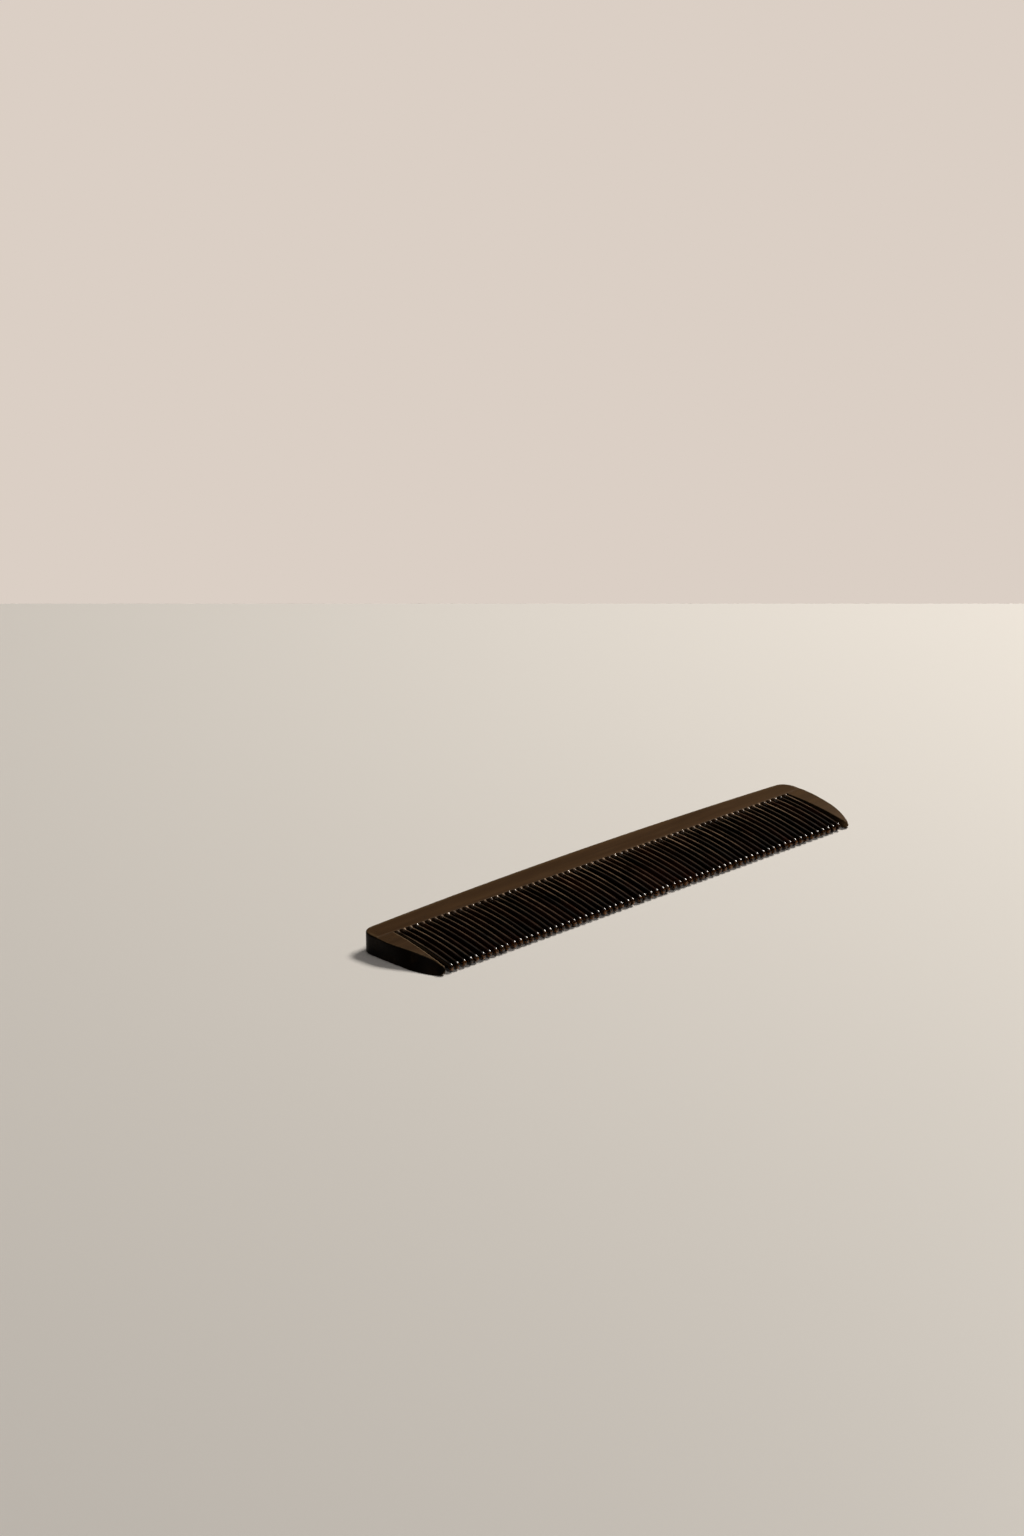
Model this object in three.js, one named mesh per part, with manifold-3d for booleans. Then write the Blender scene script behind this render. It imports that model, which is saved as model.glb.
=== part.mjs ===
// A beard comb of the inserted-tooth kind: a back bar with a groove along its tooth side, an end
// guard at each end, and horn teeth whose tongues are glued into the groove.
//
// Frame, in millimetres: the comb lies on its flat underside at z = 0, +X runs along its length,
// the teeth point towards -Y and +Z is its thickness. The origin is the middle of the underside.

import * as THREE from 'three';
import { mergeVertices } from 'three/addons/utils/BufferGeometryUtils.js';
import Module from 'manifold-3d';

const wasm = await Module();
wasm.setup();

// Driving dimensions.
const LENGTH = 189;
const WIDTH = 34.4;
const TOOTH_LENGTH = 24.6;
const BACK_THICKNESS = 6.9;
const ROOT_THICKNESS = 6.4;
const TIP_THICKNESS = 2.8;

// Teeth. An insert is two teeth on one tongue.
const TOOTH_COUNT = 68;
const TEETH_PER_INSERT = 2;
const GUARD_WIDTH = 7;
const TOOTH_WIDTH = 1.4;
const TOOTH_TIP_SCALE = 0.9;
const TOOTH_CHAMFER = 0.35;
const CREST_BULGE = 0.55;
const NOSE_LENGTH = 2;

// Back bar.
const BACK_CROWN = 2.5;
const CORNER_RADIUS = 4.8;
const BACK_EDGE_RADIUS = 0.6;

// Guards: the outer edge draws in towards the tip along a parabola, the inner edge leans outwards,
// and the outer side is planed to a bevel that widens towards the tip.
const GUARD_TAPER = 3.8;
const GUARD_TAPER_LENGTH = 12;
const GUARD_LEAN = 1.6;
const LEFT_BEVEL = 3.9;
const RIGHT_BEVEL = 0.9;
const BEVEL_START = 3;
const BEVEL_END = 18;
const BEVEL_KEEP = 0.5;
const NOSE_STEPS = 5;
const BLADE_STEPS = 9;

// Tongue and groove, with a glue line between them.
const TONGUE_DEPTH = 4;
const TONGUE_LOW = 2;
const TONGUE_HIGH = 4.4;
const TONGUE_STEP = 0.2;
const GUARD_TONGUE_WIDTH = 4.5;
const GLUE_LINE = 0.1;

const CURVE_STEPS = 3;
const OUTLINE_STEPS = 8;

// Places that follow from the dimensions.
const TIP_Y = -WIDTH / 2;
const BACK_Y = WIDTH / 2;
const ROOT_Y = TIP_Y + TOOTH_LENGTH;
const HALF_LENGTH = LENGTH / 2;
const TEETH_HALF = HALF_LENGTH - GUARD_WIDTH;
const PITCH = (2 * TEETH_HALF) / TOOTH_COUNT;
const INSERT_COUNT = TOOTH_COUNT / TEETH_PER_INSERT;

// Turns a shape drawn in Y and Z, and extruded along its own z, to run along X.
const SIDE_VIEW = new THREE.Matrix4().makeBasis(
  new THREE.Vector3(0, 1, 0),
  new THREE.Vector3(0, 0, 1),
  new THREE.Vector3(1, 0, 0),
);

function toSolid(geometry) {
  const bare = geometry.clone();
  bare.deleteAttribute('normal');
  bare.deleteAttribute('uv');
  const merged = mergeVertices(bare, 1e-5);
  const mesh = new wasm.Mesh({
    numProp: 3,
    vertProperties: new Float32Array(merged.attributes.position.array),
    triVerts: new Uint32Array(merged.index.array),
  });
  return new wasm.Manifold(mesh);
}

function toGeometry(solid) {
  const mesh = solid.getMesh();
  const geometry = new THREE.BufferGeometry();
  geometry.setAttribute('position', new THREE.BufferAttribute(mesh.vertProperties, 3));
  geometry.setIndex(new THREE.BufferAttribute(mesh.triVerts, 1));
  const faceted = geometry.toNonIndexed();
  faceted.computeVertexNormals();
  return faceted;
}

function block(low, high) {
  const size = new THREE.Vector3().subVectors(high, low);
  const centre = new THREE.Vector3().addVectors(low, high).multiplyScalar(0.5);
  return toSolid(
    new THREE.BoxGeometry(size.x, size.y, size.z).translate(centre.x, centre.y, centre.z),
  );
}

// A tooth seen from the side: a round nose, the crowned crest, and a tongue behind the shoulders.
function toothProfile() {
  const noseY = TIP_Y + NOSE_LENGTH;
  const noseZ = TIP_THICKNESS / 2;
  const shoulderY = ROOT_Y - GLUE_LINE;
  const tongueY = ROOT_Y + TONGUE_DEPTH;
  const middleZ = (TIP_THICKNESS + ROOT_THICKNESS) / 2 + 2 * CREST_BULGE;
  const shape = new THREE.Shape();
  shape.moveTo(noseY, 0);
  shape.absellipse(noseY, noseZ, NOSE_LENGTH, noseZ, -Math.PI / 2, Math.PI / 2, true);
  shape.quadraticCurveTo((noseY + shoulderY) / 2, middleZ, shoulderY, ROOT_THICKNESS);
  shape.lineTo(shoulderY, TONGUE_HIGH);
  shape.lineTo(tongueY, TONGUE_HIGH);
  shape.lineTo(tongueY, TONGUE_LOW);
  shape.lineTo(shoulderY, TONGUE_LOW);
  shape.lineTo(shoulderY, 0);
  return shape;
}

// One tooth centred on x = 0, with chamfered edges, narrowing towards its tip.
function tooth() {
  const geometry = new THREE.ExtrudeGeometry(toothProfile(), {
    depth: TOOTH_WIDTH - 2 * TOOTH_CHAMFER,
    curveSegments: CURVE_STEPS,
    bevelEnabled: true,
    bevelThickness: TOOTH_CHAMFER,
    bevelSize: TOOTH_CHAMFER,
    bevelOffset: -TOOTH_CHAMFER,
    bevelSegments: 1,
  });
  geometry.translate(0, 0, TOOTH_CHAMFER - TOOTH_WIDTH / 2);
  geometry.applyMatrix4(SIDE_VIEW);
  const position = geometry.attributes.position;
  for (let i = 0; i < position.count; i += 1) {
    const along = THREE.MathUtils.clamp((ROOT_Y - position.getY(i)) / TOOTH_LENGTH, 0, 1);
    position.setX(i, position.getX(i) * THREE.MathUtils.lerp(1, TOOTH_TIP_SCALE, along));
  }
  return toSolid(geometry);
}

// Two teeth side by side on one tongue, centred on x = 0.
function toothPair() {
  const reach = PITCH - GLUE_LINE;
  const tongue = block(
    new THREE.Vector3(-reach, ROOT_Y + TONGUE_STEP, TONGUE_LOW + TONGUE_STEP),
    new THREE.Vector3(reach, ROOT_Y + TONGUE_DEPTH - TONGUE_STEP, TONGUE_HIGH - TONGUE_STEP),
  );
  const blade = tooth();
  const pair = tongue
    .add(blade.translate([-PITCH / 2, 0, 0]))
    .add(blade.translate([PITCH / 2, 0, 0]));
  return toGeometry(pair);
}

// Height of a guard's crest at y.
function crestHeight(y) {
  const noseY = TIP_Y + NOSE_LENGTH;
  const t = THREE.MathUtils.clamp((y - noseY) / (ROOT_Y - noseY), 0, 1);
  const bulge = 4 * CREST_BULGE * t * (1 - t);
  return THREE.MathUtils.lerp(TIP_THICKNESS, ROOT_THICKNESS, t) + bulge;
}

// The corners of a guard's section at y. share is its height as a share of the full height.
function guardSection(y, share, side, bevel) {
  const along = (ROOT_Y - y) / TOOTH_LENGTH;
  const taper = Math.max(0, (TIP_Y + GUARD_TAPER_LENGTH - y) / GUARD_TAPER_LENGTH);
  const inner = TEETH_HALF + GUARD_LEAN * along;
  const outer = HALF_LENGTH - GUARD_TAPER * taper * taper;
  const planed = bevel * THREE.MathUtils.smoothstep(ROOT_Y - y, BEVEL_START, BEVEL_END);
  const edge = Math.max(outer - planed, inner + BEVEL_KEEP);
  const middle = crestHeight(y) / 2;
  const low = middle * (1 - share);
  const high = middle * (1 + share);
  return [
    [side * inner, y, low],
    [side * inner, y, high],
    [side * edge, y, high],
    [side * outer, y, low],
  ];
}

// side is 1 at the right-hand end and -1 at the left-hand end.
function endGuard(side, bevel) {
  const noseY = TIP_Y + NOSE_LENGTH;
  const rootY = ROOT_Y - GLUE_LINE;
  const corners = [];
  for (let i = 0; i < NOSE_STEPS; i += 1) {
    const angle = (Math.PI / 2) * (i / NOSE_STEPS);
    const y = noseY - NOSE_LENGTH * Math.cos(angle);
    corners.push(...guardSection(y, Math.sin(angle), side, bevel));
  }
  for (let i = 0; i <= BLADE_STEPS; i += 1) {
    const y = THREE.MathUtils.lerp(noseY, rootY, i / BLADE_STEPS);
    corners.push(...guardSection(y, 1, side, bevel));
  }
  const inner = side * (TEETH_HALF + GLUE_LINE);
  const outer = side * (TEETH_HALF + GUARD_TONGUE_WIDTH);
  const tongue = block(
    new THREE.Vector3(Math.min(inner, outer), ROOT_Y - 2 * GLUE_LINE, TONGUE_LOW),
    new THREE.Vector3(Math.max(inner, outer), ROOT_Y + TONGUE_DEPTH, TONGUE_HIGH),
  );
  return toGeometry(wasm.Manifold.hull(corners).add(tongue));
}

// The back bar from above: a crowned back edge between rounded corners.
function backOutline() {
  const cornerY = BACK_Y - BACK_CROWN;
  const arcX = HALF_LENGTH - CORNER_RADIUS;
  const shape = new THREE.Shape();
  shape.moveTo(-HALF_LENGTH, ROOT_Y - BACK_EDGE_RADIUS);
  shape.lineTo(HALF_LENGTH, ROOT_Y - BACK_EDGE_RADIUS);
  shape.lineTo(HALF_LENGTH, cornerY - CORNER_RADIUS);
  shape.absarc(arcX, cornerY - CORNER_RADIUS, CORNER_RADIUS, 0, Math.PI / 2, false);
  shape.quadraticCurveTo(0, cornerY + 2 * BACK_CROWN, -arcX, cornerY);
  shape.absarc(-arcX, cornerY - CORNER_RADIUS, CORNER_RADIUS, Math.PI / 2, Math.PI, false);
  return shape;
}

// The side view that planes the bar's top down from the back edge to the root line.
function planedSection() {
  const slope = (BACK_THICKNESS - ROOT_THICKNESS) / (BACK_Y - ROOT_Y);
  const beyond = BACK_Y + CORNER_RADIUS;
  const shape = new THREE.Shape();
  shape.moveTo(ROOT_Y, 0);
  shape.lineTo(beyond, 0);
  shape.lineTo(beyond, ROOT_THICKNESS + slope * (beyond - ROOT_Y));
  shape.lineTo(ROOT_Y, ROOT_THICKNESS);
  return shape;
}

function spine() {
  const bar = new THREE.ExtrudeGeometry(backOutline(), {
    depth: BACK_THICKNESS - 2 * BACK_EDGE_RADIUS,
    curveSegments: OUTLINE_STEPS,
    bevelEnabled: true,
    bevelThickness: BACK_EDGE_RADIUS,
    bevelSize: BACK_EDGE_RADIUS,
    bevelOffset: -BACK_EDGE_RADIUS,
    bevelSegments: 3,
  });
  bar.translate(0, 0, BACK_EDGE_RADIUS);
  const section = new THREE.ExtrudeGeometry(planedSection(), {
    depth: 2 * LENGTH,
    bevelEnabled: false,
  });
  section.translate(0, 0, -LENGTH);
  section.applyMatrix4(SIDE_VIEW);
  const grooveHalf = TEETH_HALF + GUARD_TONGUE_WIDTH + GLUE_LINE;
  const groove = block(
    new THREE.Vector3(-grooveHalf, ROOT_Y - 1, TONGUE_LOW - GLUE_LINE),
    new THREE.Vector3(grooveHalf, ROOT_Y + TONGUE_DEPTH + GLUE_LINE, TONGUE_HIGH + GLUE_LINE),
  );
  return toGeometry(toSolid(bar).intersect(toSolid(section)).subtract(groove));
}

function woodMaterial(name) {
  return new THREE.MeshStandardMaterial({ name, color: 0x42311f, roughness: 0.5, metalness: 0 });
}

function hornMaterial() {
  return new THREE.MeshStandardMaterial({
    name: 'horn',
    color: 0x1a0f0a,
    roughness: 0.22,
    metalness: 0,
  });
}

function addPiece(comb, name, geometry, material) {
  const mesh = new THREE.Mesh(geometry, material);
  mesh.name = name;
  comb.add(mesh);
  return mesh;
}

function beardComb() {
  const comb = new THREE.Group();
  comb.name = 'beard_comb';
  addPiece(comb, 'spine', spine(), woodMaterial('back_wood'));
  const guardWood = woodMaterial('guard_wood');
  addPiece(comb, 'end_guard_left', endGuard(-1, LEFT_BEVEL), guardWood);
  addPiece(comb, 'end_guard_right', endGuard(1, RIGHT_BEVEL), guardWood);
  const pair = toothPair();
  const horn = hornMaterial();
  for (let i = 0; i < INSERT_COUNT; i += 1) {
    const number = String(i + 1).padStart(2, '0');
    const insert = addPiece(comb, `tooth_pair_${number}`, pair, horn);
    insert.position.x = -TEETH_HALF + TEETH_PER_INSERT * PITCH * (i + 0.5);
  }
  return comb;
}

export default beardComb();
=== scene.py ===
import math
import random

import bmesh
import bpy
import numpy as np
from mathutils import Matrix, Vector


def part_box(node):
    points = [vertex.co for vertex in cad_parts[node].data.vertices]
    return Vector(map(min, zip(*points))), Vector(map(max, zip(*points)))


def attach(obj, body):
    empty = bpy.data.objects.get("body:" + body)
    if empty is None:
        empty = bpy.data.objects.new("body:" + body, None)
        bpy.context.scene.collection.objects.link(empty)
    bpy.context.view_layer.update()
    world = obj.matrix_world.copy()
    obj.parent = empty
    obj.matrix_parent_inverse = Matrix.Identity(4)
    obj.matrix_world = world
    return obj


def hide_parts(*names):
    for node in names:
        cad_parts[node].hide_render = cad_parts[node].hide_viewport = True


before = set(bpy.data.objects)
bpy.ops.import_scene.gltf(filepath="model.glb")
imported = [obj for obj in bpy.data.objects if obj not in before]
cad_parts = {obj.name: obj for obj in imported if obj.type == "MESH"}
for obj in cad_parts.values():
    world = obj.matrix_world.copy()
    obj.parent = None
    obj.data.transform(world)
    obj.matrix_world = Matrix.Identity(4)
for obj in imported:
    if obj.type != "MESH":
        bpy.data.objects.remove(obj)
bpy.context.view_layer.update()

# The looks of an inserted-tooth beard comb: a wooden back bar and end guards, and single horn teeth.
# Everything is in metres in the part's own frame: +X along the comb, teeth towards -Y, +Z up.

MM = 0.001
ROOT_BODY = "root"

# Places that the CAD frame gives.
SPINE_LOW, SPINE_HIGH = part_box("spine")
PAIR_NODES = sorted(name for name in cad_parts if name.startswith("tooth_pair_"))
PAIR_LOW, PAIR_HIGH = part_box(PAIR_NODES[0])
HALF_LENGTH = SPINE_HIGH.x
ROOT_Y = SPINE_LOW.y
BACK_Y = SPINE_HIGH.y
TIP_Y = PAIR_LOW.y
TONGUE_END_Y = PAIR_HIGH.y
TEETH_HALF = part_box("end_guard_right")[0].x
TOOTH_COUNT = 2 * len(PAIR_NODES)
PITCH = 2 * TEETH_HALF / TOOTH_COUNT
ROOT_THICKNESS = PAIR_HIGH.z
BACK_THICKNESS = SPINE_HIGH.z

# Section that the teeth and guards share.
TIP_THICKNESS = 2.8 * MM
NOSE_LENGTH = 2.0 * MM
CREST_BULGE = 0.55 * MM
GLUE_LINE = 0.05 * MM
NOSE_RINGS = 9
NOSE_START = 6.0                            # degrees round the nose at its first ring
NOSE_WIDTH_POWER = 0.55
BLADE_RINGS = 26
BLADE_EASE = 1.6                            # crowds the rings towards the root

# Tongues and the groove that holds them.
TONGUE_LOW = 2.0 * MM
TONGUE_HIGH = 4.4 * MM
SHOULDER_Y = ROOT_Y - GLUE_LINE
NECK_LENGTH = 0.02 * MM

# Teeth. Each one is a little crooked, bowed and thicker or thinner than the others.
TOOTH_ROOT_HALF = 0.66 * MM
TOOTH_TIP_HALF = 0.62 * MM
TOOTH_NECK_HALF = 0.8 * TOOTH_ROOT_HALF
TOOTH_ROUNDNESS = 3.0
TONGUE_ROUNDNESS = 8
RING_POINTS = 28
WANDER_MM = 0.34
WANDER_POWER = 1.3
BOW_MM = 0.22
GIRTH = (0.94, 1.07)
FLARE = 0.26 * MM
FLARE_REACH_MM = 0.75
COLLAR = 0.42 * MM                          # the raised bead at a tooth's root
COLLAR_MIDDLE_MM = 0.6
COLLAR_REACH_MM = 0.40
COLLAR_DIP = 0.45 * MM                      # the drop between the bead and the back bar
COLLAR_DIP_REACH_MM = 0.3

# Back bar.
BACK_CROWN = 2.5 * MM
CORNER_RADIUS = 4.8 * MM
BACK_EDGE_RADIUS = 0.6 * MM
FRONT_EDGE_RADIUS = 0.14 * MM
BAR_STATIONS = 36
CORNER_STATIONS = 25
FRONT_EDGE_POINTS = 6
TOP_POINTS = 9
BACK_EDGE_POINTS = 9

# Guards. The bevel on a guard's outer side widens between two distances from the root.
GUARD_TAPER = 3.8 * MM
GUARD_TAPER_LENGTH = 12.0 * MM
GUARD_LEAN = 1.6 * MM
LEFT_BEVEL = 3.9 * MM
RIGHT_BEVEL = 0.9 * MM
BEVEL_START = 3.0 * MM
BEVEL_END = 18.0 * MM
BEVEL_KEEP = 0.5 * MM
GUARD_TIP_ROUND = 0.9 * MM
GUARD_RADII = (0.3 * MM, 0.5 * MM, 0.5 * MM, 0.45 * MM)    # inner, outer foot; outer, inner top
GUARD_TOP_SHARES = (0.05, 0.12, 0.25, 0.5, 0.75, 0.88, 0.95)
GUARD_TONGUE_INSET = 0.3 * MM
GUARD_TONGUE_WIDTH = 4.5 * MM
GUARD_TONGUE_RADIUS = 0.1 * MM
ARC_POINTS = 6
ARC_SHARE = 0.45                            # the most of a side that one rounded corner takes

# Mesh clean-up. Edges that turn by less than the smooth angle are shaded smooth.
MERGE_DISTANCE = 1e-6
SHORTEST_EDGE = 1e-7
SMOOTH_ANGLE = math.radians(40.0)

random.seed(7)


# ---------------------------------------------------------------- helpers

def clamp(value):
    return min(max(value, 0.0), 1.0)


def hump(distance, middle, reach):
    """A smooth bump, 1 at its middle."""
    return math.exp(-(((distance - middle) / reach) ** 2))


def down_tooth(y):
    """Share of the way from the roots to the tips."""
    return (ROOT_Y - y) / (ROOT_Y - TIP_Y)


def crest_height(y):
    """Height of a tooth's or guard's crest at y, from the end of its nose to its root."""
    nose_y = TIP_Y + NOSE_LENGTH
    t = clamp((y - nose_y) / (ROOT_Y - nose_y))
    return TIP_THICKNESS + (ROOT_THICKNESS - TIP_THICKNESS) * t + 4 * CREST_BULGE * t * (1 - t)


def closed_skin(name, rings):
    """One closed body through a list of point loops of equal length, capped at both ends."""
    mesh = bmesh.new()
    loops = [[mesh.verts.new(point) for point in ring] for ring in rings]
    count = len(loops[0])
    for near, far in zip(loops, loops[1:]):
        for i in range(count):
            j = (i + 1) % count
            mesh.faces.new((near[i], near[j], far[j], far[i]))
    mesh.faces.new(reversed(loops[0]))
    mesh.faces.new(loops[-1])
    bmesh.ops.remove_doubles(mesh, verts=mesh.verts, dist=MERGE_DISTANCE)
    bmesh.ops.dissolve_degenerate(mesh, edges=mesh.edges, dist=SHORTEST_EDGE)
    bmesh.ops.recalc_face_normals(mesh, faces=mesh.faces)
    for edge in mesh.edges:
        edge.smooth = len(edge.link_faces) == 2 and edge.calc_face_angle(0.0) < SMOOTH_ANGLE
    for face in mesh.faces:
        face.smooth = True
    data = bpy.data.meshes.new(name)
    mesh.to_mesh(data)
    mesh.free()
    piece = bpy.data.objects.new(name, data)
    bpy.context.scene.collection.objects.link(piece)
    return piece


def finish_piece(piece, material, node):
    piece.data.materials.append(material)
    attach(piece, ROOT_BODY)
    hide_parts(node)


def superellipse(centre_x, centre_z, half_x, half_z, power):
    """A loop in X and Z: an ellipse at power 2, nearly a rectangle at power 8."""
    loop = []
    for i in range(RING_POINTS):
        angle = 2 * math.pi * (i + 0.5) / RING_POINTS
        c, s = math.cos(angle), math.sin(angle)
        x = math.copysign(abs(c) ** (2 / power), c)
        z = math.copysign(abs(s) ** (2 / power), s)
        loop.append((centre_x + half_x * x, centre_z + half_z * z))
    return loop


# ---------------------------------------------------------------- teeth

def tooth_stations():
    """(y, share of full thickness, share of full width) from the tip to the root."""
    stations = []
    for i in range(NOSE_RINGS):
        angle = math.radians(NOSE_START + (90 - NOSE_START) * i / NOSE_RINGS)
        y = TIP_Y + NOSE_LENGTH * (1 - math.cos(angle))
        stations.append((y, math.sin(angle), math.sin(angle) ** NOSE_WIDTH_POWER))
    start = TIP_Y + NOSE_LENGTH
    for i in range(BLADE_RINGS + 1):
        eased = 1 - (1 - i / BLADE_RINGS) ** BLADE_EASE
        stations.append((start + (SHOULDER_Y - start) * eased, 1.0, 1.0))
    return stations


STATIONS = tooth_stations()


def tooth(number):
    wander = random.uniform(-WANDER_MM, WANDER_MM) * MM
    bow = random.uniform(-BOW_MM, BOW_MM) * MM
    girth = random.uniform(*GIRTH)
    root_x = -TEETH_HALF + PITCH * (number - 0.5)
    rings = []
    for y, thickness, width in STATIONS:
        along = down_tooth(y)
        full = crest_height(y)
        from_root = (ROOT_Y - y) / MM
        collar = (COLLAR * hump(from_root, COLLAR_MIDDLE_MM, COLLAR_REACH_MM)
                  - COLLAR_DIP * hump(from_root, 0, COLLAR_DIP_REACH_MM))
        half_z = full / 2 * thickness + collar / 2
        half_x = TOOTH_ROOT_HALF + (TOOTH_TIP_HALF - TOOTH_ROOT_HALF) * along
        half_x = half_x * girth * width + FLARE * hump(from_root, 0, FLARE_REACH_MM)
        centre_x = root_x + wander * along ** WANDER_POWER + bow * 4 * along * (1 - along)
        loop = superellipse(centre_x, full / 2 + collar / 2, half_x, half_z, TOOTH_ROUNDNESS)
        rings.append([(x, y, z) for x, z in loop])
    neck_z = (TONGUE_LOW + TONGUE_HIGH) / 2
    neck_half = (TONGUE_HIGH - TONGUE_LOW) / 2
    tongue_half = PITCH / 2 - GLUE_LINE
    for y, half_x in (
        (SHOULDER_Y, TOOTH_NECK_HALF),
        (SHOULDER_Y + NECK_LENGTH, TOOTH_NECK_HALF),
        (SHOULDER_Y + NECK_LENGTH, tongue_half),
        (TONGUE_END_Y, tongue_half),
    ):
        loop = superellipse(root_x, neck_z, half_x, neck_half, TONGUE_ROUNDNESS)
        rings.append([(x, y, z) for x, z in loop])
    return closed_skin(f"tooth_{number:02d}", rings)


# ---------------------------------------------------------------- end guards

def rounded_loop(corners, radii):
    """A closed loop through straight-sided corners, each rounded off by its own radius."""
    loop = []
    count = len(corners)
    for i, (corner, radius) in enumerate(zip(corners, radii)):
        here = np.array(corner)
        ends = []
        for other in (np.array(corners[i - 1]), np.array(corners[(i + 1) % count])):
            span = max(float(np.linalg.norm(other - here)), 1e-9)
            ends.append(here + (other - here) * (min(radius, ARC_SHARE * span) / span))
        for t in np.linspace(0, 1, ARC_POINTS):
            point = (1 - t) ** 2 * ends[0] + 2 * t * (1 - t) * here + t * t * ends[1]
            loop.append((float(point[0]), float(point[1])))
    return loop


def guard_loop(corners, radii):
    """A rounded loop with more points across its top, between its third and fourth corner."""
    loop = rounded_loop(corners, radii)
    split = 3 * ARC_POINTS
    near, far = np.array(loop[split - 1]), np.array(loop[split])
    top = [tuple(float(v) for v in near + (far - near) * share) for share in GUARD_TOP_SHARES]
    return loop[:split] + top + loop[split:]


def guard_edges(y, bevel):
    """Distances from the comb's middle: a guard's inner edge, its top's outer edge and its foot."""
    taper = max(0.0, (TIP_Y + GUARD_TAPER_LENGTH - y) / GUARD_TAPER_LENGTH)
    inner = TEETH_HALF + GUARD_LEAN * down_tooth(y)
    foot = HALF_LENGTH - GUARD_TAPER * taper * taper
    t = clamp((ROOT_Y - y - BEVEL_START) / (BEVEL_END - BEVEL_START))
    edge = max(foot - bevel * t * t * (3 - 2 * t), inner + BEVEL_KEEP)
    return inner, edge, foot


def end_guard(name, side, bevel):
    rings = []
    for y, thickness, _ in STATIONS:
        full = crest_height(y)
        low, high = full / 2 * (1 - thickness), full / 2 * (1 + thickness)
        inner, edge, foot = guard_edges(y, bevel)
        s = min((y - TIP_Y) / GUARD_TIP_ROUND, 1.0)
        narrow = (foot - inner) / 2 * (1 - math.sqrt(1 - (1 - s) ** 2))
        inner, foot = inner + narrow, foot - narrow
        edge = min(max(edge, inner), foot)
        corners = [(side * inner, low), (side * foot, low),
                   (side * edge, high), (side * inner, high)]
        rings.append([(x, y, z) for x, z in guard_loop(corners, GUARD_RADII)])
    near = side * (TEETH_HALF + GUARD_TONGUE_INSET)
    far = side * (TEETH_HALF + GUARD_TONGUE_WIDTH)
    corners = [(near, TONGUE_LOW), (far, TONGUE_LOW), (far, TONGUE_HIGH), (near, TONGUE_HIGH)]
    loop = guard_loop(corners, (GUARD_TONGUE_RADIUS,) * 4)
    for y in (SHOULDER_Y, TONGUE_END_Y):
        rings.append([(x, y, z) for x, z in loop])
    return closed_skin(name, rings)


# ---------------------------------------------------------------- back bar

def back_edge(x):
    return BACK_Y - BACK_CROWN * (x / HALF_LENGTH) ** 2


def quarter_drop(distance, radius):
    """How far a rounded edge lies below its face at that distance from the edge."""
    inside = max(radius - distance, 0.0)
    return radius - math.sqrt(max(radius * radius - inside * inside, 0.0))


def back_bar():
    arc_x = HALF_LENGTH - CORNER_RADIUS
    arc_y = back_edge(arc_x) - CORNER_RADIUS
    groove_half = TEETH_HALF + GUARD_TONGUE_WIDTH + 2 * GLUE_LINE
    groove_low, groove_high = TONGUE_LOW - GLUE_LINE, TONGUE_HIGH + GLUE_LINE
    groove_depth = TONGUE_END_Y - ROOT_Y + GLUE_LINE
    depth = BACK_Y - ROOT_Y
    quarter = math.pi / 2

    # Stations are (x, y of the back edge, groove depth), from the middle to the end. The groove stops
    # where it meets the corner, at two stations in one place.
    stations = [(x, back_edge(x), groove_depth) for x in np.linspace(0, arc_x, BAR_STATIONS)]
    for angle in np.linspace(0, quarter, CORNER_STATIONS)[1:]:
        x = arc_x + CORNER_RADIUS * math.sin(angle)
        y = arc_y + CORNER_RADIUS * math.cos(angle)
        stations.append((x, y, groove_depth if x < groove_half else 0.0))
    switch = next(i for i, station in enumerate(stations) if station[2] == 0.0)
    angle = math.asin((groove_half - arc_x) / CORNER_RADIUS)
    stop_y = arc_y + CORNER_RADIUS * math.cos(angle)
    stations[switch:switch] = [(groove_half, stop_y, groove_depth), (groove_half, stop_y, 0.0)]

    # Shares of the way from the front edge to the back edge, close together where an edge is rounded.
    front = [FRONT_EDGE_RADIUS * (1 - math.cos(a)) / depth
             for a in np.linspace(0, quarter, FRONT_EDGE_POINTS)]
    middle = list(np.linspace(front[-1], 1 - BACK_EDGE_RADIUS / depth, TOP_POINTS)[1:-1])
    back = [1 - BACK_EDGE_RADIUS * (1 - math.sin(a)) / depth
            for a in np.linspace(0, quarter, BACK_EDGE_POINTS)]
    shares = front + middle + back

    def bottom_and_top(x, y, edge_y):
        share = (y - ROOT_Y) / depth
        top = ROOT_THICKNESS + (BACK_THICKNESS - ROOT_THICKNESS) * share
        if x > arc_x and y > arc_y:
            inside = CORNER_RADIUS - math.hypot(x - arc_x, y - arc_y)
        else:
            inside = min(HALF_LENGTH - x, edge_y - y)
        drop = max(quarter_drop(max(inside, 0.0), BACK_EDGE_RADIUS),
                   quarter_drop(y - ROOT_Y, FRONT_EDGE_RADIUS))
        return drop, top - drop

    rings = []
    for x, edge_y, groove in stations:
        across = [ROOT_Y + (edge_y - ROOT_Y) * share for share in shares]
        heights = [bottom_and_top(x, y, edge_y) for y in across]
        loop = [(ROOT_Y, groove_low), (ROOT_Y + groove, groove_low),
                (ROOT_Y + groove, groove_high), (ROOT_Y, groove_high)]
        loop += [(y, high) for y, (low, high) in zip(across, heights)]
        loop += [(y, low) for y, (low, high) in reversed(list(zip(across, heights)))]
        rings.append([(x, y, z) for y, z in loop])
    mirrored = [[(-x, y, z) for x, y, z in ring] for ring in rings[:0:-1]]
    return closed_skin("back_bar", mirrored + rings)


# ---------------------------------------------------------------- materials

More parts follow.
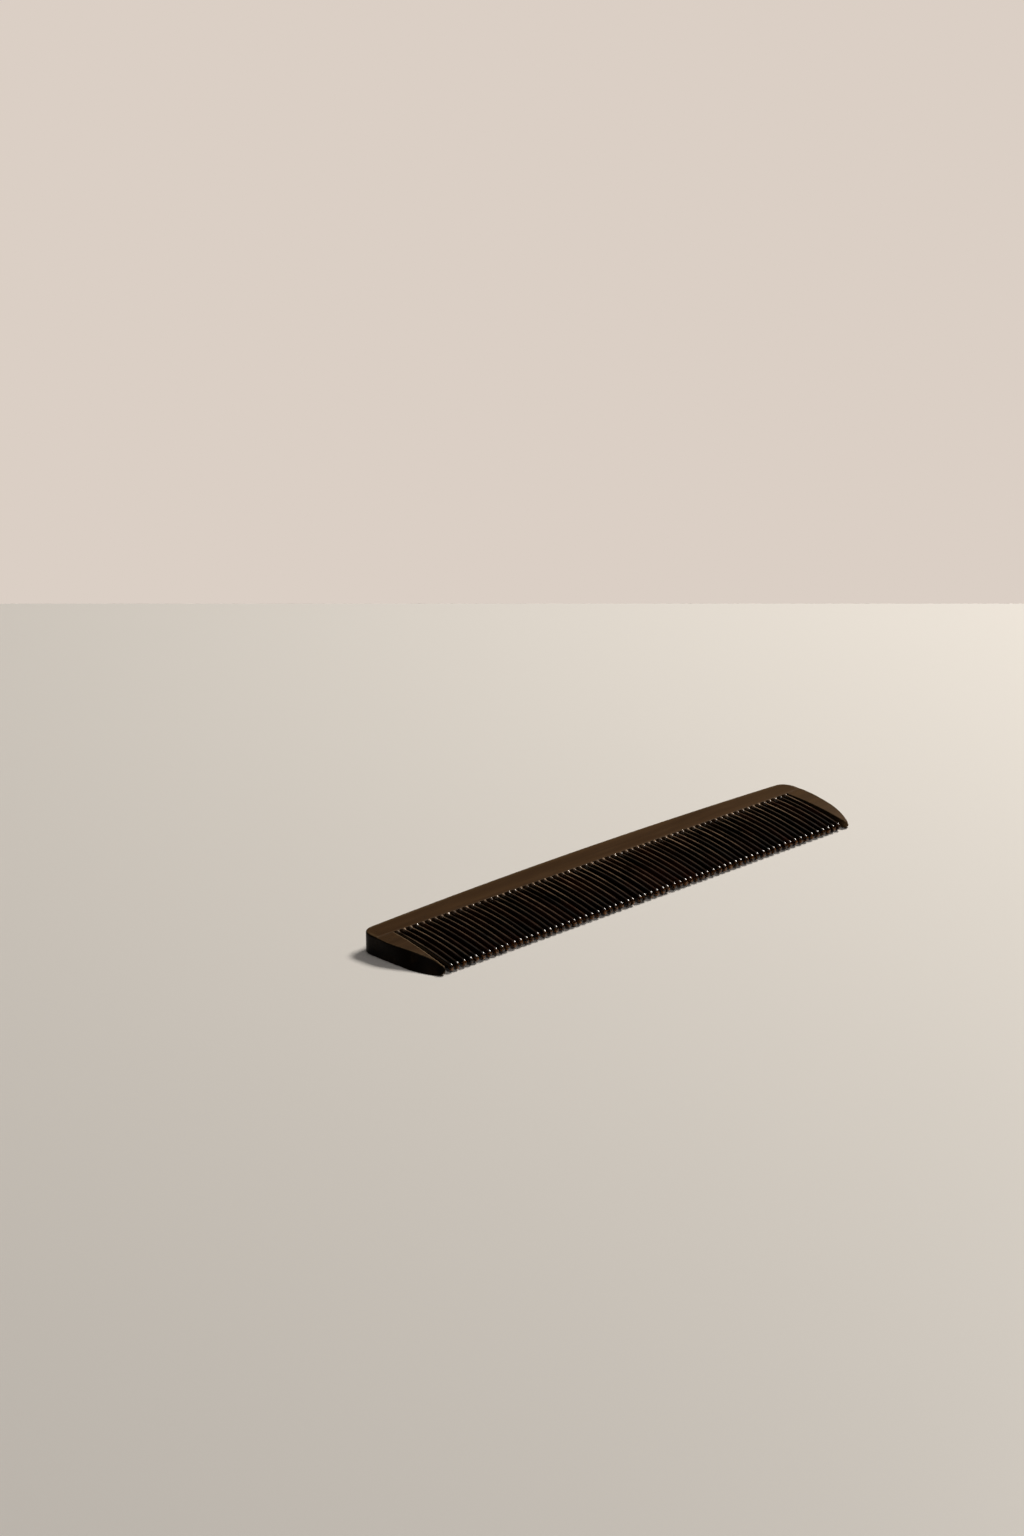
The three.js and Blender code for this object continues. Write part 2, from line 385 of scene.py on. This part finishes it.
# Marks in the materials: their size in mm along X, Y and Z, then the noise's detail, roughness and
# distortion.
WOOD_BANDS = ((90, 5.5, 5.5), 2.0, 0.5, 0.6)
WOOD_FIBRES = ((14, 0.55, 0.55), 4.0, 0.6)
WOOD_PORES = ((3.2, 0.22, 0.22), 2.0, 0.5)
HORN_STREAKS = ((0.45, 9, 0.45), 3.0, 0.6, 0.4)
HORN_CLOUDS = ((7, 11, 7), 2.0)
CREST_PATCHES = ((1.6, 6, 4), 2.0)
AMBER_SPOTS = ((0.9, 0.9, 0.6), 1.0)
FINE_SCRATCHES = ((0.12, 2.5, 0.12), 2.0)
TIP_LUMPS = ((0.8, 0.8, 0.8), 1.0)
FLOOR_MOTTLE = ((250, 250, 250), 4.0)

# Wood: its dark ground, its paler bands and the streaks of its fibres.
BACK_WOOD = ((0.0365, 0.0179, 0.0071, 1), (0.057, 0.0293, 0.0121, 1), (0.075, 0.041, 0.018, 1))
GUARD_WOOD = ((0.034, 0.0173, 0.0070, 1), (0.057, 0.0298, 0.0125, 1), (0.074, 0.0415, 0.0185, 1))
# painted light: the colour the wood pales towards at the right end
PALE_WOOD = (0.105, 0.062, 0.028, 1)
WALL_PAINTED_SHADE = (0.0012, 0.0008, 0.0005, 1)     # painted shade: the side walls painted nearly black
# paler edges: partly wear, partly a painted rim highlight where the edges catch the light
WEAR_AND_RIM_HIGHLIGHT = (0.115, 0.075, 0.037, 1)
LIP_HIGHLIGHT = (0.24, 0.165, 0.10, 1)
PORE_SHADE = 0.3                            # a pore's colour, as a share of the dark ground
BACK_RIM = (0.6, 1.7)                       # where the paler edge, partly wear and partly a painted rim highlight, starts to fade and ends, in mm
GUARD_RIM = (0.2, 0.6)

# How strongly each of these covers the wood below it.
PORE_COVER = 0.7
PALE_COVER = 0.22
WEAR_AND_RIM_HIGHLIGHT_COVER = 0.6
LIP_HIGHLIGHT_COVER = 0.75

WOOD_SPECULAR = 0.05
WOOD_BUMP = (0.35, 0.06 * MM)               # strength and height

# Horn.
HORN = (0.0008, 0.0006, 0.0005, 1)
HORN_STREAK = (0.0035, 0.0018, 0.0012, 1)
RED_HORN = (0.030, 0.008, 0.003, 1)
# painted highlight: the colour of the line of light on each crest and the bead at its root
CREST_HIGHLIGHT = (0.60, 0.40, 0.25, 1)
# painted glow: amber where light shines through the thin tips
PAINTED_TIP_GLOW = (0.30, 0.12, 0.030, 1)
RED_COVER = 0.8
HORN_SPECULAR = 0.36
HORN_COAT = 0.3
HORN_COAT_ROUGHNESS = 0.09
HORN_BUMP = (0.6, 0.12 * MM)

FLOOR_COLOUR = (0.765, 0.745, 0.722, 1)
FLOOR_PALER = 1.02
FLOOR_ROUGHNESS = 0.45


class Graph:
    """Short calls for a material's node tree."""

    def __init__(self, name):
        self.material = bpy.data.materials.new(name)
        self.material.use_nodes = True
        self.tree = self.material.node_tree
        self.shader = self.tree.nodes["Principled BSDF"]

    def add(self, kind, inputs=(), **settings):
        node = self.tree.nodes.new(kind)
        for key, value in settings.items():
            setattr(node, key, value)
        for key, value in dict(inputs).items():
            self.feed(node.inputs[key], value)
        return node

    def feed(self, socket, value):
        if isinstance(value, bpy.types.NodeSocket):
            self.tree.links.new(value, socket)
        else:
            socket.default_value = value

    def surface(self, name, value):
        """Sets or links one of the shader's own inputs."""
        self.feed(self.shader.inputs[name], value)

    def marks(self, size, detail=3.0, roughness=0.55, distortion=0.0):
        """Noise on object coordinates, whose marks have this size in mm on each axis."""
        place = self.add("ShaderNodeTexCoord").outputs["Object"]
        scale = tuple(1 / (length * MM) for length in size)
        vector = self.add("ShaderNodeMapping", {"Vector": place, "Scale": scale}).outputs["Vector"]
        return self.add("ShaderNodeTexNoise", {
            "Vector": vector, "Scale": 1.0, "Detail": detail, "Roughness": roughness,
            "Distortion": distortion}).outputs["Fac"]

    def spread(self, value, low, high, to_low=0.0, to_high=1.0):
        """Stretches low to high over another range, and holds the ends."""
        return self.add("ShaderNodeMapRange", {
            "Value": value, "From Min": low, "From Max": high,
            "To Min": to_low, "To Max": to_high}).outputs["Result"]

    def maths(self, operation, a, b):
        return self.add("ShaderNodeMath", {0: a, 1: b}, operation=operation).outputs[0]

    def times(self, a, b):
        return self.maths("MULTIPLY", a, b)

    def blend(self, factor, a, b):
        mix = self.add("ShaderNodeMix", {0: factor, 6: a, 7: b}, data_type="RGBA")
        return mix.outputs[2]

    def attribute(self, name):
        return self.add("ShaderNodeAttribute", attribute_name=name).outputs["Fac"]

    def bump(self, height, strength, distance):
        return self.add("ShaderNodeBump", {
            "Height": height, "Strength": strength, "Distance": distance}).outputs["Normal"]


def wood(name, colours, rim):
    """Close-grained dark wood: bands, fibres and short pores along X; paler edges, partly wear and
    partly a painted rim highlight; painted shade on the side walls; painted light paling the right
    end; and a painted highlight line where a piece marks one.
    """
    dark, light, streak = colours
    graph = Graph(name)
    bands = graph.marks(*WOOD_BANDS)
    fibres = graph.marks(*WOOD_FIBRES)
    pores = graph.spread(graph.marks(*WOOD_PORES), 0.62, 0.74)
    body = graph.blend(graph.spread(bands, 0.35, 0.66), dark, light)
    body = graph.blend(graph.spread(fibres, 0.52, 0.72, 0.0, 0.6), body, streak)
    deep = (*[c * PORE_SHADE for c in dark[:3]], 1)
    body = graph.blend(graph.times(pores, PORE_COVER), body, deep)
    # painted light: paler wood towards the right end
    body = graph.blend(graph.times(graph.attribute("pale"), PALE_COVER), body, PALE_WOOD)

    # painted shade: the side walls darken to nearly black, most at the left end, which lies in shadow
    side = graph.attribute("side")
    shade = graph.times(side, graph.spread(bands, 0.45, 0.65, 0.96, 0.86))
    body = graph.blend(shade, body, WALL_PAINTED_SHADE)
    # paler edges: partly wear, partly a painted rim highlight
    wear_and_rim_highlight = graph.spread(graph.attribute("rim"), *rim, 1.0, 0.0)
    wear_and_rim_highlight = graph.times(wear_and_rim_highlight, graph.spread(fibres, 0.3, 0.6, 0.35, 1.0))
    wear_and_rim_highlight = graph.times(wear_and_rim_highlight, graph.maths("SUBTRACT", 1.0, side))
    body = graph.blend(graph.times(wear_and_rim_highlight, WEAR_AND_RIM_HIGHLIGHT_COVER), body, WEAR_AND_RIM_HIGHLIGHT)
    # painted highlight along the left guard's inner edge
    body = graph.blend(graph.times(graph.attribute("painted_lip_highlight"), LIP_HIGHLIGHT_COVER), body, LIP_HIGHLIGHT)
    graph.surface("Base Color", body)

    rough = graph.spread(fibres, 0.3, 0.7, 0.40, 0.52)
    graph.surface("Roughness", graph.maths("ADD", rough, graph.times(pores, 0.2)))
    height = graph.maths("SUBTRACT", graph.times(fibres, 0.35), pores)
    graph.surface("Normal", graph.bump(height, *WOOD_BUMP))
    graph.surface("Specular IOR Level", WOOD_SPECULAR)
    return graph.material


def horn(name):
    """Polished dark horn: streaks along the tooth, a redder tone in some teeth, a painted highlight
    line on the crest and bead at its root, and a painted amber glow at the tips."""
    graph = Graph(name)
    streaks = graph.marks(*HORN_STREAKS)
    clouds = graph.marks(*HORN_CLOUDS)
    patches = graph.marks(*CREST_PATCHES)
    spots = graph.marks(*AMBER_SPOTS)
    fine = graph.marks(*FINE_SCRATCHES)
    lumps = graph.marks(*TIP_LUMPS)
    at_tip = graph.attribute("glow")

    body = graph.blend(graph.spread(streaks, 0.42, 0.7), HORN, HORN_STREAK)
    warm = graph.times(graph.spread(clouds, 0.4, 0.65), graph.attribute("tone"))
    body = graph.blend(graph.times(warm, RED_COVER), body, RED_HORN)
    # painted highlight along the crest and at the root bead
    crest = graph.times(graph.attribute("crest"), graph.spread(patches, 0.3, 0.62, 0.12, 1.0))
    body = graph.blend(crest, body, CREST_HIGHLIGHT)
    # painted glow: amber at the low front of each tip
    glow = graph.times(at_tip, graph.spread(spots, 0.46, 0.62, 0.02, 1.0))
    graph.surface("Base Color", graph.blend(glow, body, PAINTED_TIP_GLOW))

    graph.surface("Roughness", graph.spread(fine, 0.3, 0.7, 0.14, 0.22))
    height = graph.maths("ADD", graph.times(fine, 0.1), graph.times(lumps, at_tip))
    dented = graph.bump(height, *HORN_BUMP)
    graph.surface("Normal", dented)
    graph.surface("Coat Normal", dented)
    graph.surface("Specular IOR Level", HORN_SPECULAR)
    graph.surface("Coat Weight", HORN_COAT)
    graph.surface("Coat Roughness", HORN_COAT_ROUGHNESS)
    return graph.material


def floor_paint():
    """Pale paint with a faint mottle."""
    graph = Graph("floor_paint")
    paler = (*[c * FLOOR_PALER for c in FLOOR_COLOUR[:3]], 1)
    graph.surface("Base Color", graph.blend(graph.marks(*FLOOR_MOTTLE), FLOOR_COLOUR, paler))
    graph.surface("Roughness", FLOOR_ROUGHNESS)
    return graph.material


# ---------------------------------------------------------------- values the materials read

# Painted light: the right end's wood starts to pale at this share of half the length, and is palest
# this far on, where it faces the light.
PALE_START = 0.6
PALE_SPAN = 0.35

# Painted shade on the side walls: how steep a wall has to be to turn dark, by its normal's Z, and how
# dark it is then.
WALL_NORMAL_Z = 0.93
WALL_FADE = 0.18
BACK_WALL_SHADE = 0.45
RIGHT_WALL_SHADE = 0.85
RIGHT_TIP_FADE = 3.0 * MM

# Painted highlight: a pale line along the left guard's inner edge, where the edge catches the light.
LIP_HALF = 0.32 * MM
LIP_LOW = 0.8                               # as a share of the crest's height
LIP_END = 0.97                              # as a share of the way to the tips

# Painted highlights: the line of light on a tooth's crest, and the bead of light at its root. Both
# lie on the upper part of the tooth, and their widths are shares of half the tooth's width.
CREST_LOW = 0.72
CREST_WIDTH = 0.33
CREST_END = 1.0 * MM
CREST_AT_TIP = 0.16
CREST_POWER = 1.5
CREST_STRENGTH = (0.25, 1.0)
CREST_FADE_MM = (1.0, 4.5)
BEAD_STRENGTH = 0.75
BEAD_WIDTH = 0.9
BEAD_MIDDLE_MM = 0.7
BEAD_REACH_MM = 0.45

# The painted amber glow at a tooth's tip, where light shines through the thin horn.
GLOW_LENGTH = 1.6 * MM
GLOW_FULL = 1.35
GLOW_HEIGHT = 0.75 * TIP_THICKNESS


def vertex_values(piece, name, values):
    """Stores a number at each vertex, for the material to read."""
    layer = piece.data.attributes.new(name, "FLOAT", "POINT")
    for item, value in zip(layer.data, values):
        item.value = value


def by_place(piece, value):
    """value(x, y, z) at each of the piece's vertices."""
    return [value(*vertex.co) for vertex in piece.data.vertices]


def bar_rim(x, y, z):
    """Distance in mm from the bar's back and end edges."""
    return min(HALF_LENGTH - abs(x), back_edge(x) - y) / MM


def guard_rim(bevel):
    """Distance in mm from the nearer edge of a guard's top."""
    def value(x, y, z):
        inner, edge, _ = guard_edges(y, bevel)
        return max(0.0, min(edge - abs(x), abs(x) - inner)) / MM
    return value


def guard_lip_highlight(x, y, z):
    """Where the painted highlight lies: 1 along the inner edge of a guard's top, 0 elsewhere."""
    along = down_tooth(y)
    near_edge = abs(abs(x) - (TEETH_HALF + GUARD_LEAN * along)) < LIP_HALF
    return 1.0 if near_edge and z > LIP_LOW * crest_height(y) and 0 < along < LIP_END else 0.0


def painted_right_end_light(x, y, z):
    """How much painted light pales the wood: 0, rising to 1 at the right end."""
    return clamp((x - PALE_START * HALF_LENGTH) / (PALE_SPAN * HALF_LENGTH))


def wall_shade(piece):
    """How much painted shade each vertex takes as part of a side wall: most at the left end, which
    lies in shadow, less on the back wall.
    """
    shades = []
    for vertex in piece.data.vertices:
        steep = clamp((WALL_NORMAL_Z - abs(vertex.normal.z)) / WALL_FADE)
        right = RIGHT_WALL_SHADE * clamp((vertex.co.y - TIP_Y) / RIGHT_TIP_FADE)
        end = 1.0 if vertex.co.x < 0 else right
        facing = max(BACK_WALL_SHADE, min(1.0, 2.0 * abs(vertex.normal.x)))
        shades.append(steep * end * facing)
    return shades


def crest_highlight_of(piece, strength, fade):
    """Painted highlight: a stripe along the top of a tooth, fading out towards the nose, and a bead
    of light at its root.
    """
    sides = {}
    for vertex in piece.data.vertices:
        key = round(vertex.co.y, 6)
        low, high = sides.get(key, (1.0, -1.0))
        sides[key] = (min(low, vertex.co.x), max(high, vertex.co.x))

    def value(x, y, z):
        if z <= CREST_LOW * crest_height(y):
            return 0.0
        low, high = sides[round(y, 6)]
        off = abs(x - (low + high) / 2) / max((high - low) / 2, 1e-6)
        nose = clamp((y - TIP_Y - CREST_END) / fade)
        up = max(0.0, (y - TIP_Y) / (ROOT_Y - TIP_Y))
        root = CREST_AT_TIP + (1 - CREST_AT_TIP) * up ** CREST_POWER
        line = max(0.0, 1.0 - (off / CREST_WIDTH) ** 2) * nose * root * strength
        bead = hump((ROOT_Y - y) / MM, BEAD_MIDDLE_MM, BEAD_REACH_MM)
        bead *= max(0.0, 1.0 - (off / BEAD_WIDTH) ** 2)
        return max(line, BEAD_STRENGTH * bead)
    return value


def tip_glow(x, y, z):
    """Where the painted amber glow lies: 1 at the low front of a tooth's nose, 0 on its blade."""
    return clamp(1.0 - (y - TIP_Y) / GLOW_LENGTH) * clamp(GLOW_FULL - z / GLOW_HEIGHT)


# ---------------------------------------------------------------- the comb

def make_comb():
    back_wood = wood("back_wood_grain", BACK_WOOD, BACK_RIM)
    guard_wood = wood("guard_wood_grain", GUARD_WOOD, GUARD_RIM)
    tooth_horn = horn("polished_horn")

    bar = back_bar()
    vertex_values(bar, "rim", by_place(bar, bar_rim))
    # painted light: paler wood towards the right end
    vertex_values(bar, "pale", by_place(bar, painted_right_end_light))
    # painted shade on the bar's side walls
    vertex_values(bar, "side", wall_shade(bar))
    finish_piece(bar, back_wood, "spine")
    for name, side, bevel, node in (
        ("left_guard", -1, LEFT_BEVEL, "end_guard_left"),
        ("right_guard", 1, RIGHT_BEVEL, "end_guard_right"),
    ):
        guard = end_guard(name, side, bevel)
        vertex_values(guard, "rim", by_place(guard, guard_rim(bevel)))
        vertex_values(guard, "pale", by_place(guard, painted_right_end_light))
        # only the left guard gets the painted highlight on its inner edge
        if side < 0:
            vertex_values(guard, "painted_lip_highlight", by_place(guard, guard_lip_highlight))
        # painted shade on the guard's side walls
        vertex_values(guard, "side", wall_shade(guard))
        finish_piece(guard, guard_wood, node)
    for number in range(1, TOOTH_COUNT + 1):
        piece = tooth(number)
        tone = random.random()
        strength = random.uniform(*CREST_STRENGTH)
        fade = random.uniform(*CREST_FADE_MM) * MM
        vertex_values(piece, "tone", [tone] * len(piece.data.vertices))
        # painted highlight on the crest and the root bead
        vertex_values(piece, "crest", by_place(piece, crest_highlight_of(piece, strength, fade)))
        # painted amber glow at the tip
        vertex_values(piece, "glow", by_place(piece, tip_glow))
        finish_piece(piece, tooth_horn, PAIR_NODES[(number - 1) // 2])


# ---------------------------------------------------------------- stage, light and camera

CAMERA_PLACE = Vector((-0.8641, -0.83645, 0.4614))
CAMERA_HEADING = math.radians(44.39)        # from +Y towards +X
CAMERA_DIP = math.radians(19.38)
CAMERA_LENS = 96.74
CAMERA_SENSOR = 36.0
CAMERA_CLIP = (0.01, 50.0)

FLOOR_REACH = 1.500                         # from under the camera to the floor's far edge
FLOOR_WIDTH = 6.0
FLOOR_BEHIND = 3.0
FLOOR_DROP = 0.00005                        # keeps the floor off the comb's underside

SKY_STOPS = (                               # height of the direction, then its colour
    (0.00, (0.708, 0.624, 0.558, 1)),
    (0.02, (0.100, 0.080, 0.060, 1)),
    (0.12, (0.026, 0.017, 0.010, 1)),
    (0.80, (0.013, 0.009, 0.006, 1)),
    (1.00, (0.50, 0.48, 0.46, 1)),
)

LAMPS = (                                   # name, direction, distance, size, power, colour
    ("key", (0.66, -0.02, 0.75), 1.6, (0.56, 0.42), 26, (1.0, 0.945, 0.86)),
    ("fill", (-0.45, -0.3, 0.85), 1.8, (1.6, 1.6), 4, (1.0, 0.97, 0.94)),
)


def make_camera():
    data = bpy.data.cameras.new("camera")
    data.lens = CAMERA_LENS
    data.sensor_width = CAMERA_SENSOR
    data.clip_start, data.clip_end = CAMERA_CLIP
    camera = bpy.data.objects.new("camera", data)
    ahead = Vector((math.sin(CAMERA_HEADING) * math.cos(CAMERA_DIP),
                    math.cos(CAMERA_HEADING) * math.cos(CAMERA_DIP), -math.sin(CAMERA_DIP)))
    camera.location = CAMERA_PLACE
    camera.rotation_mode = "QUATERNION"
    camera.rotation_quaternion = ahead.to_track_quat("-Z", "Y")
    bpy.context.scene.collection.objects.link(camera)
    bpy.context.scene.camera = camera


def make_floor():
    ahead = Vector((math.sin(CAMERA_HEADING), math.cos(CAMERA_HEADING), 0))
    side = Vector((ahead.y, -ahead.x, 0))
    under = Vector((CAMERA_PLACE.x, CAMERA_PLACE.y, 0))
    far, near = under + ahead * FLOOR_REACH, under - ahead * FLOOR_BEHIND
    half = side * FLOOR_WIDTH / 2
    data = bpy.data.meshes.new("floor")
    data.from_pydata([near - half, near + half, far + half, far - half], [], [(0, 1, 2, 3)])
    data.materials.append(floor_paint())
    floor = bpy.data.objects.new("floor", data)
    floor.location.z = -FLOOR_DROP
    bpy.context.scene.collection.objects.link(floor)


def make_sky():
    """The light from all round: a pale wall low down, dark walls above it and a paler ceiling."""
    world = bpy.data.worlds.new("studio")
    world.use_nodes = True
    tree = world.node_tree
    place = tree.nodes.new("ShaderNodeTexCoord")
    split = tree.nodes.new("ShaderNodeSeparateXYZ")
    ramp = tree.nodes.new("ShaderNodeValToRGB")
    tree.links.new(place.outputs["Generated"], split.inputs["Vector"])
    tree.links.new(split.outputs["Z"], ramp.inputs["Fac"])
    tree.links.new(ramp.outputs["Color"], tree.nodes["Background"].inputs["Color"])
    stops = ramp.color_ramp.elements
    while len(stops) < len(SKY_STOPS):
        stops.new(0.5)
    for stop, (position, colour) in zip(stops, SKY_STOPS):
        stop.position = position
        stop.color = colour
    bpy.context.scene.world = world


def area_light(name, toward, distance, size, power, colour):
    """A soft rectangular light, shining at the comb's middle from the direction given."""
    data = bpy.data.lights.new(name, "AREA")
    data.shape = "RECTANGLE"
    data.size, data.size_y = size
    data.energy = power
    data.color = colour
    lamp = bpy.data.objects.new(name, data)
    way = Vector(toward).normalized()
    lamp.location = way * distance
    lamp.rotation_mode = "QUATERNION"
    lamp.rotation_quaternion = way.to_track_quat("Z", "Y")
    bpy.context.scene.collection.objects.link(lamp)


make_camera()
make_floor()
make_sky()
for lamp in LAMPS:
    area_light(*lamp)
bpy.context.scene.view_settings.view_transform = "Standard"
make_comb()
